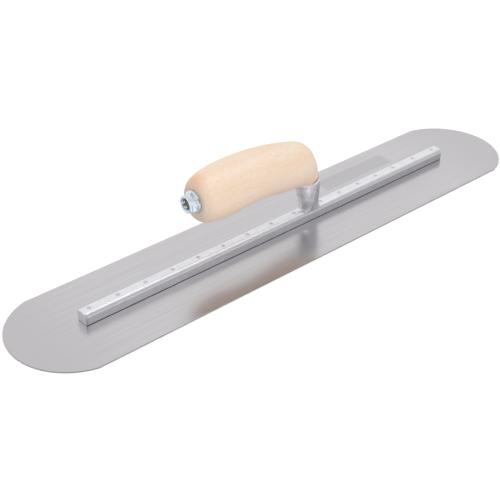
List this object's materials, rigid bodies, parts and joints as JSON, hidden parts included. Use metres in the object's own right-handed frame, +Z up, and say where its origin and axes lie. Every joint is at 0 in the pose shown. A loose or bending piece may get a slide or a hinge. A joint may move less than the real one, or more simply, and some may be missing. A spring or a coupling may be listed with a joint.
{
  "type": "finishing trowel",
  "caption": "Round-ended steel finishing trowel: flat blade riveted to a cast aluminium mounting bar and post, with a curved wooden handle held by a flange nut.",
  "frame": {"origin": "centre of the blade's underside", "axes": "+X along the blade towards the nose of the handle, +Y across the blade, +Z up"},
  "size_m": [0.508, 0.1016, 0.0862],
  "materials": {
    "blade_steel": "fine lengthwise brushing",
    "cast_aluminium": "polished casting",
    "rivet_steel": "ground flush",
    "handle_wood": "smooth pale hardwood, clear finish",
    "yellow_zinc": "yellow zinc plated",
    "bright_zinc": "bright zinc plated"
  },
  "bodies": {
    "root": {"blade": "blade_steel", "mounting": "cast_aluminium", "handle": "handle_wood", "tang_rod": "yellow_zinc", "handle_nut": "bright_zinc", "rivet_01": "rivet_steel", "rivet_02": "rivet_steel", "rivet_03": "rivet_steel", "rivet_04": "rivet_steel", "rivet_05": "rivet_steel", "rivet_06": "rivet_steel", "rivet_07": "rivet_steel", "rivet_08": "rivet_steel", "rivet_09": "rivet_steel", "rivet_10": "rivet_steel", "rivet_11": "rivet_steel", "rivet_12": "rivet_steel", "rivet_13": "rivet_steel", "rivet_14": "rivet_steel", "rivet_15": "rivet_steel", "rivet_16": "rivet_steel"}
  },
  "joints": []
}
